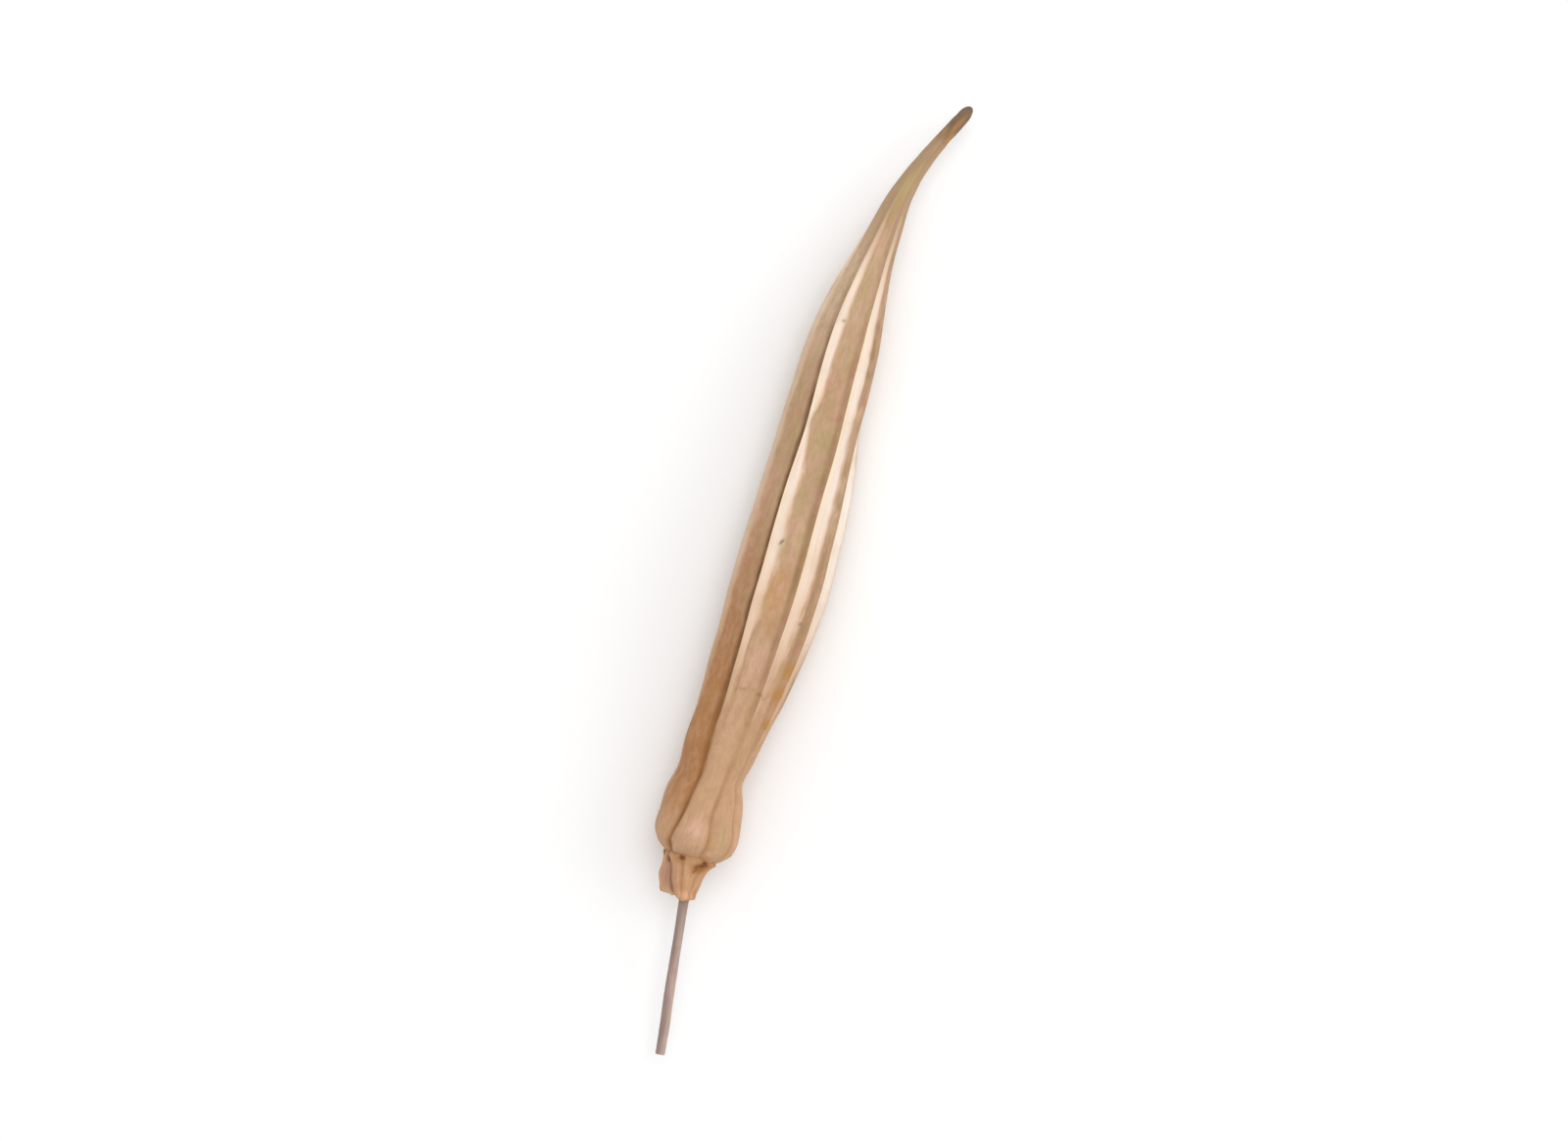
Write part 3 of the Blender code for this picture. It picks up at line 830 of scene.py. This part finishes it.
def paint_bands(piece, g, line):
    """Stores where the bands are pale, where a painted highlight lightens them, and the lines of brown and
    painted shade. No band runs on down the next lip.
    """
    last_column = np.arange(g.seam.size) % COLUMNS_ACROSS == COLUMNS_ACROSS - 1
    outside = last_column & (g.width < WIDE_BAND)
    paint(piece, "band_place", np.where(outside, FARTHEST_PLACE, np.minimum(g.place, FARTHEST_PLACE)))
    pale = blend(PALE_SHARE, g.s) * SEAM_PALENESS[g.seam] * ease(0.1, 1.0, g.width)
    pale = pale * (1 + 0.08 * wander(g.seam, g.along, (5, 25), seed=15))
    streak = marks(STREAKS, g.angle, g.s, g.crest)
    paint(piece, "pale", np.clip(np.maximum(pale, streak), 0, 1))
    # Painted highlight: how far each band is lightened towards white.
    paint(piece, "band_highlight", SEAM_HIGHLIGHT[g.seam] * blend(HIGHLIGHT_SHARE, g.s))
    thin = 0.35 * second_line(g) + 0.55 * scratch_line(g)
    # Dark lines: painted shade of the cracks with their brown, and the crease and scratch.
    paint(piece, "line", np.clip(np.maximum(line, thin), 0, 1))


def paint_faces(piece, g):
    """Stores how brown each face is, partly painted shade on shaded faces and before lips, how light each
    face is, and the colours that change only along the fruit.
    """
    narrow = 1 - ease(*NARROW_BAND, g.width)
    # Painted shade before each lip and on the faces that lie in shade, with brown marks of the wall's own
    # colour.
    soft = blend(LIP_SHADE, g.s) * bell(g.before, 0, LIP_SHADE_REACH) * narrow
    face = blend(UMBER_AND_SHADE_ALONG, g.s) * FACE_UMBER_AND_SHADE[g.seam] * ease(0.0, 0.12, g.share)
    brown = marks(BROWNS, g.angle, g.s, g.crest)
    paint(piece, "umber_and_shade", np.maximum(np.maximum(soft, face), brown))
    paint(piece, "light", FACE_LIGHT[g.seam] * blend(LIGHT_SHARE, g.s))
    for name, rows in (("white", WHITE_SHARE), ("warm", WARM_SHARE), ("neck", NECK_SHARE)):
        paint(piece, name, blend(rows, g.s) + 0 * g.angle)
    ragged = g.s + 0.6 * ripple(g.even, g.s, (1, 4), (3, 9), seed=41)
    paint(piece, "beak", blend(BEAK_SHARE, ragged), (0.0, 0.9))


def paint_marks(piece, g):
    """Stores the marks of each kind: the listed ones and the scattered ones."""
    for name, rows in (
        ("speck", SPECKS + scattered(*MORE_SPECKS)),
        ("stain", STAINS + scattered(*MORE_STAINS)),
        ("blush", BLUSHES_AND_HIGHLIGHTS + scattered(*MORE_BLUSHES)),
        ("olive", OLIVES + scattered(*MORE_OLIVES)),
        ("olive_neck", NECK_OLIVES),
    ):
        paint(piece, name, marks(rows, g.angle, g.s, g.crest))


def settle(points, node):
    """The move that puts the middle of the points' box on the middle of the CAD node's box."""
    low, high = (np.array(corner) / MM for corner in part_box(node))
    flat = points.reshape(-1, 3)
    return (low + high) / 2 - (flat.min(axis=0) + flat.max(axis=0)) / 2


def pod_wall():
    """Crest radius times the section, less the depth, set round a bent centre line."""
    g = wall_grid()
    line = dark_line(g)
    section = g.crest * wall_section(g)
    radius = section - wall_depth(g, line)
    centre, side, up = frames(CENTRE_LINE, g.along)
    around = side[:, None] * np.sin(g.angle)[:, :, None] + up[:, None] * np.cos(g.angle)[:, :, None]
    tip = end_point(CENTRE_LINE, TIP_END)
    outline = centre[:, None] + section[:, :, None] * around
    shift = settle(np.concatenate([outline.reshape(-1, 3), [tip]]), "pod_body")
    points = centre[:, None] + radius[:, :, None] * around + shift
    piece = loft("pod_wall", points, centre[0] + shift, tip + shift)
    paint_bands(piece, g, line)
    paint_faces(piece, g)
    paint_marks(piece, g)
    lay_grain(piece, g.even + 0 * g.s, g.s, WALL_GRAIN_RADIUS, BASE_END, BEAK_END)
    piece.data.materials.append(pod_wall_material())
    return piece, shift


# ---- the stub

# The stub: along, sideways, up, radius. Its last two rows lie inside the fruit.
STUB_SECTIONS = np.array([
    (31.7, -7.1, 8.95, 3.2), (32.1, -7.1, 8.95, 3.65), (33.4, -7.3, 8.95, 3.85),
    (35.4, -7.5, 8.9, 4.28), (37.2, -7.42, 8.85, 4.45), (38.8, -7.25, 8.8, 4.9),
    (40.2, -7, 8.8, 5.65), (40.6, -7, 8.8, 5.5), (41.2, -7, 8.8, 4.9),
])
COLLAR = 40.2
STUB_TOP = 41.2
# The cut end's edge: sideways, along. Where it is read, how it leans underneath, and its teeth.
CUT_EDGE = np.array([
    (-11.2, 31.9), (-10.6, 32), (-9.65, 32.4), (-8.8, 32.65), (-7.8, 32.45), (-6.4, 31.65),
    (-4.2, 31.8), (-3.5, 32.2),
])
CUT_MIDDLE = 32.3
CUT_RADIUS = 3.7
CUT_LEAN = 0.18
CUT_TEETH = 0.05
# Roughness and crown of the cut face, and how far its edge is worn, with the length that the wear runs.
FACE_ROUGHNESS = 0.10
FACE_CROWN = 0.10
EDGE_WEAR = 0.22
EDGE_WEAR_RUN = 0.25
# Folds: degrees at the collar, degrees at the cut, depth, half width.
STUB_FOLDS = [
    (-56, -14, 0.55, 0.5), (-13, 18, 0.28, 0.4), (44, 42, 0.25, 0.45), (82, 74, 0.4, 0.5),
    (128, 118, 0.45, 0.6), (172, 166, 0.3, 0.5), (214, 224, 0.5, 0.6), (262, 280, 0.4, 0.5),
]
FOLD_SHARPNESS = 1.3
# Pits of the scar: degrees, along, half width, half length, turn, depth.
STUB_PITS = [
    (37, 40, 0.95, 0.7, -12, 0.8), (27, 39.3, 0.55, 0.65, 20, 0.45),
    (50, 39.6, 0.55, 0.45, -30, 0.35), (31, 38.2, 0.4, 0.75, 10, 0.28),
    (-17, 40.1, 0.75, 0.5, 10, 0.55), (-55, 39.3, 0.6, 0.9, 20, 0.6),
    (85, 39.7, 0.9, 0.6, 0, 0.55), (121, 39.9, 0.7, 0.5, 15, 0.45),
    (158, 39.6, 1.1, 0.6, -10, 0.6), (197, 39.9, 0.7, 0.55, 0, 0.5),
    (238, 39.6, 1, 0.65, 10, 0.6), (276, 39.8, 0.8, 0.5, 0, 0.5),
]
PIT_RAGGEDNESS = 0.45
STUB_RIDGES = 0.07
STUB_SWELL = 0.16
# Marks of the stub: degrees, along, half width, half length, turn, strength.
STUB_STAINS = [
    (37, 39.2, 2, 1.5, -10, 1), (-18, 39.6, 1.2, 1, 0, 0.5), (200, 38.8, 1.6, 1.4, 0, 0.6),
    (120, 38.4, 1.2, 1.4, 0, 0.5),
]
STUB_BLUSHES = [
    (-42, 35.6, 2, 3.4, -20, 0.85), (150, 35.4, 2.2, 3, 0, 0.6), (245, 35, 2, 3.2, 0, 0.7),
]
STUB_TIPS = [
    (26, 32.6, 1.3, 1.1, 0, 0.95), (60, 32.9, 0.8, 1.2, 0, 0.4), (8, 41, 1.4, 1, 0, 0.2),
]
STUB_SIDES = 216
SOCKET_RINGS = 10
FACE_RINGS = 30
WALL_RINGS = 96
TOP_RINGS = 8
STUB_GRAIN_RADIUS = 4.0
# The stub's fibres turn a little round it: radians a millimetre.
STUB_GRAIN_TURN = 0.07

# The stick's centre line: along, sideways, up. The stub's socket goes round it from MOUTH to SOCKET_END.
STICK_LINE = np.array([
    (0, -0.15, 7.3), (6, -1.15, 7.6), (12.5, -2.3, 7.9), (19, -3.35, 8.2),
    (25.5, -4.4, 8.5), (31.5, -5.35, 8.75), (36.5, -6.1, 8.85),
])
SOCKET_RADIUS = 1.14
SOCKET_END = 36.6
MOUTH = 31.95


def fold_share(around, along, radius):
    """Depth of the folds: a bell round a line that turns from its angle at the collar to that at the cut."""
    down = np.clip((COLLAR - along) / (COLLAR - MOUTH), 0, 1)
    depth = 0 * (around + along)
    for collar_degrees, cut_degrees, fold, half_width in STUB_FOLDS:
        course = np.radians(collar_degrees + (cut_degrees - collar_degrees) * down)
        away = radius * signed_turn(around - course)
        depth = np.maximum(depth, fold * np.exp(-np.abs(away / half_width) ** FOLD_SHARPNESS))
    return depth


def stub_wall(around, along):
    """Outer radius: the sections' radius less folds and pits, with fine ridges along it."""
    radius = smooth(STUB_SECTIONS, 3, along)
    folds = fold_share(around, along, radius)
    ragged = 1 + PIT_RAGGEDNESS * ripple(around, along, (8, 34), (1.2, 4.0), seed=26)
    pits = marks(STUB_PITS, around, along, radius) * np.clip(ragged, 0.35, 1.4)
    ridges = STUB_RIDGES * ripple(around + 0.05 * along, along, (8, 26), (8, 30), seed=21)
    swell = STUB_SWELL * ripple(around, along, (2, 6), (6, 20), seed=22)
    inside = ease(COLLAR, STUB_TOP, along)
    return radius + (swell + ridges - folds - pits) * (1 - inside), folds, pits


def stub_courses():
    """Distances along of all points: up the socket, over the rough cut face, along the wall, into the fruit.

    The edge follows its own line across the cut, leans in underneath and has fine teeth. The face goes
    from the socket's mouth to the edge by a power of its share of the way.
    """
    around = np.linspace(0, 2 * np.pi, STUB_SIDES + 1)[None, :-1]
    across = smooth(STUB_SECTIONS, 1, CUT_MIDDLE) + CUT_RADIUS * np.sin(around)
    teeth = CUT_TEETH * ripple(around, 0 * around, (5, 30), (1, 2), seed=24)
    edge = smooth(CUT_EDGE, 1, across) + CUT_LEAN * (1 - np.cos(around)) / 2 + teeth
    socket = np.linspace(SOCKET_END, MOUTH, SOCKET_RINGS, endpoint=False)[:, None] + 0 * around
    share = np.linspace(0, 1, FACE_RINGS, endpoint=False)[:, None]
    rough = FACE_ROUGHNESS * ripple(around, 3 * share, (2, 14), (0.6, 2.5), seed=25)
    face = MOUTH + (edge - MOUTH) * share ** 1.5 + (rough + FACE_CROWN) * np.sin(np.pi * share)
    wall = edge + (COLLAR - edge) * np.linspace(0, 1, WALL_RINGS)[:, None] ** 1.15
    top = np.linspace(COLLAR, STUB_TOP, TOP_RINGS + 1)[1:, None] + 0 * around
    return SimpleNamespace(
        around=around, edge=edge, socket=socket, share=share, face=face, outer=np.concatenate([wall, top]))


def stub_points(c, radius):
    """Circles round the stick's line in the socket, sections round the stub's line, even shares between."""
    turn = np.stack([np.sin(c.around), np.cos(c.around)], axis=2)

    def circles(rows, along, size):
        """Circles of one size round a line."""
        return np.stack([smooth(rows, 1, along), smooth(rows, 2, along)], axis=2) + size * turn

    outer = circles(STUB_SECTIONS, c.outer, radius[:, :, None])
    inner = circles(STICK_LINE, c.face, SOCKET_RADIUS)
    face = inner + (outer[:1] - inner) * c.share[:, :, None]
    flat = np.concatenate([circles(STICK_LINE, c.socket, SOCKET_RADIUS), face, outer])
    along = np.concatenate([c.socket, c.face, c.outer])
    return np.stack([flat[:, :, 0], along, flat[:, :, 1]], axis=2)


def paint_stub(piece, c, radius, folds, pits):
    """Stores the painted shade of the socket, folds and collar and the dark of the pits, scar colour with
    painted shade, then the stub's marks and the paler cut with its edge.
    """
    blank = np.zeros((len(c.socket) + len(c.face), c.around.size))
    # Painted shade in the socket and at its mouth, in the folds and in the crease at the collar; the pits are
    # dark by scar colour and painted shade.
    hole = np.concatenate([0 * c.socket + 1, bell(c.share, 0, 0.10) + 0 * c.face])
    collar_shade = 0.25 * bell(c.outer, 40.4, 0.5)
    scar_and_shade = 0.72 * np.minimum(pits / 0.5, 1) ** 1.2 + 0.55 * folds / 0.5 + collar_shade
    paint(piece, "scar_and_shade", np.concatenate([0.85 * hole, np.clip(scar_and_shade, 0, 0.88)]), (0.9, 0.0))
    for name, rows in (("stain", STUB_STAINS), ("blush", STUB_BLUSHES), ("tip", STUB_TIPS)):
        paint(piece, name, np.concatenate([blank, marks(rows, c.around, c.outer, radius)]))
    edge = 0.6 * np.exp(-(c.outer - c.edge) / 0.3)
    paint(piece, "cut", np.concatenate([0 * c.socket, 0 * c.face + 1, edge]))


def stalk_stub(shift):
    """Rings up the socket, over the rough cut face, along the outer wall and into the fruit."""
    c = stub_courses()
    radius, folds, pits = stub_wall(c.around, c.outer)
    radius = radius - EDGE_WEAR * np.exp(-(c.outer - c.edge) / EDGE_WEAR_RUN)
    points = stub_points(c, radius) + shift
    piece = loft("stub_wood", points, end_point(STICK_LINE, SOCKET_END) + shift, points[-1].mean(axis=0))
    paint_stub(piece, c, radius, folds, pits)
    along = np.concatenate([c.socket, c.face, c.outer])
    turned = c.around + STUB_GRAIN_TURN * (along - COLLAR)
    lay_grain(piece, turned, along, STUB_GRAIN_RADIUS, SOCKET_END, STUB_TOP)
    piece.data.materials.append(stub_material())
    return piece


# ---- the stick

STICK_RADIUS = 1.0
WRINKLE_DEPTH = 0.022
BEND_DEPTH = 0.025
# The cut end: where it starts, how rough it is, and how far its rim is worn over a short length.
STICK_START = 0.06
STICK_END = 36.45
CUT_ROUGHNESS = 0.03
RIM_WEAR = 0.07
RIM_WEAR_RUN = 0.08
STICK_SIDES = 96
STICK_RINGS = 240
STICK_FACE_RINGS = 14
PITH_SHARE = 0.12
# Painted shade: bark darker close to the stub, which shades it, and on its side away from the light.
NEAR_STUB_SHADE = np.array([(22, 0), (28.5, 0.45), (31.8, 0.85)])
SHADED_SIDE_SHARE = 0.78
SHADED_SIDE_EDGE = (-0.7, 0.6)


def stick_tube(around, length):
    """Round tube with slight lengthwise wrinkles and bends, its rim worn by a short exponential."""
    row = length[:, None]
    wrinkles = WRINKLE_DEPTH * ripple(around, row, (4, 15), (10, 70), seed=31)
    bends = BEND_DEPTH * ripple(around, row, (1, 3), (5, 30), seed=32)
    radius = STICK_RADIUS + wrinkles + bends - RIM_WEAR * np.exp(-(row - STICK_START) / RIM_WEAR_RUN)
    centre, side, up = frames(STICK_LINE, length)
    turn = side[:, None] * np.sin(around)[:, :, None] + up[:, None] * np.cos(around)[:, :, None]
    return centre, centre[:, None] + radius[:, :, None] * turn


def paint_stick(piece, around, length, share):
    """Stores the pale cut wood with its dark pith, and the bark's painted shade: by a step of the angle's
    sine on the side away from the light, and near the stub.
    """
    row = length[:, None]
    # Painted shade: darker on the side away from the light, and close to the stub.
    patchy = 1 + 0.15 * ripple(around, row, (1, 3), (8, 30), seed=34)
    shaded_side = SHADED_SIDE_SHARE * ease(*SHADED_SIDE_EDGE, -np.sin(around)) * patchy
    shade = np.clip(np.maximum(blend(NEAR_STUB_SHADE, row), shaded_side), 0, 1)
    # The dark pith, the cut's own colour, is stored in the same attribute as the painted shade.
    pith = 0.5 * bell(share, 0, 0.3) + 0 * around
    wood = 1 - 0.8 * ease(0.8, 1.0, share) - pith
    paint(piece, "shade", np.concatenate([pith, shade]), (0.5, 0.0))
    paint(piece, "cut", np.concatenate([wood, 0 * shade]), (0.5, 0.0))


def stick(shift):
    """A wrinkled tube along the stick's line, closed by a rough flat cut."""
    around = np.linspace(0, 2 * np.pi, STICK_SIDES + 1)[None, :-1]
    length = np.linspace(STICK_START, STICK_END, STICK_RINGS)
    share = np.linspace(PITH_SHARE, 1, STICK_FACE_RINGS, endpoint=False)[:, None]
    centre, tube = stick_tube(around, length)
    face = centre[0] + (tube[:1] - centre[0]) * share[:, :, None]
    rough = 1 + ripple(around, share, (1, 9), (0.2, 0.8), seed=33)
    face[:, :, 1] = STICK_START + CUT_ROUGHNESS * rough * (1 - share)
    points = np.concatenate([face, tube]) + shift
    start = centre[0] + (0, CUT_ROUGHNESS, 0) + shift
    piece = loft("stick_bark", points, start, points[-1].mean(axis=0))
    paint_stick(piece, around, length, share)
    along = np.concatenate([STICK_START + 0 * share, length[:, None]])
    lay_grain(piece, around + 0 * along, along, 1.0, STICK_START, STICK_LINE[-1, 0])
    piece.data.materials.append(stick_material())
    return piece


# ---- floor, light and camera

LEAN = math.radians(18.2)
IMAGE_RIGHT = Vector((math.cos(LEAN), math.sin(LEAN), 0.0))
IMAGE_UP = Vector((-math.sin(LEAN), math.cos(LEAN), 0.0))
WORLD_STRENGTH = 0.82
FLOOR_SIZE = 8.0
# Lights: name, place to the right, up the image and above the floor, size, power.
LIGHTS = [
    ("key", 0.15, 0.35, 1.2, 1, 4.1), ("side", 1.05, 0.1, 0.55, 0.9, 2.7),
]
FRAME_WIDTH = 0.32
FOCUS_HEIGHT = 0.01
LENS = 100.0
SENSOR = 36.0


def floor():
    """A plain pale floor."""
    bpy.ops.mesh.primitive_plane_add(size=FLOOR_SIZE)
    ground = bpy.context.object
    ground.name = "floor"
    material, _, shader = new_material("pale_floor")
    shader.inputs["Base Color"].default_value = (0.96, 0.96, 0.96, 1.0)
    shader.inputs["Roughness"].default_value = 0.9
    ground.data.materials.append(material)


def area_light(name, place, size, power):
    """A round soft light that points at the object's middle."""
    data = bpy.data.lights.new(name, "AREA")
    data.shape = "DISK"
    data.size = size
    data.energy = power
    lamp = bpy.data.objects.new(name, data)
    lamp.location = place
    lamp.rotation_euler = (-place).to_track_quat("-Z", "Y").to_euler()
    bpy.context.scene.collection.objects.link(lamp)


def lights():
    """A key light above, one from the right, and an even white surround."""
    for name, right, up, above, size, power in LIGHTS:
        area_light(name, IMAGE_RIGHT * right + IMAGE_UP * up + Vector((0, 0, above)), size, power)
    world = bpy.context.scene.world or bpy.data.worlds.new("studio")
    bpy.context.scene.world = world
    world.use_nodes = True
    background = world.node_tree.nodes["Background"]
    background.inputs["Color"].default_value = (1.0, 1.0, 1.0, 1.0)
    background.inputs["Strength"].default_value = WORLD_STRENGTH


def camera():
    """Straight above, rolled so that the pod leans to the right as it does upright in a bunch."""
    data = bpy.data.cameras.new("camera")
    data.lens = LENS
    data.sensor_width = SENSOR
    data.clip_end = 20.0
    eye = bpy.data.objects.new("camera", data)
    turn = Matrix((IMAGE_RIGHT, IMAGE_UP, Vector((0, 0, 1)))).transposed()
    place = Matrix.Translation((0, 0, FRAME_WIDTH * LENS / SENSOR + FOCUS_HEIGHT))
    eye.matrix_world = place @ turn.to_4x4()
    bpy.context.scene.collection.objects.link(eye)
    bpy.context.scene.camera = eye


def main():
    """The stage, then the three pieces, each put under the root body, with its node's CAD part hidden."""
    camera()
    lights()
    floor()
    wall, shift = pod_wall()
    for piece, node, slot in (
        (wall, "pod_body", "dry_pod_wall"),
        (stalk_stub(shift), "stalk_stub", "stalk_wood"),
        (stick(shift), "stick_stem", "stick_bark"),
    ):
        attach(piece, "root")
        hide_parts(node)
    bpy.context.scene.view_settings.view_transform = "Standard"


main()
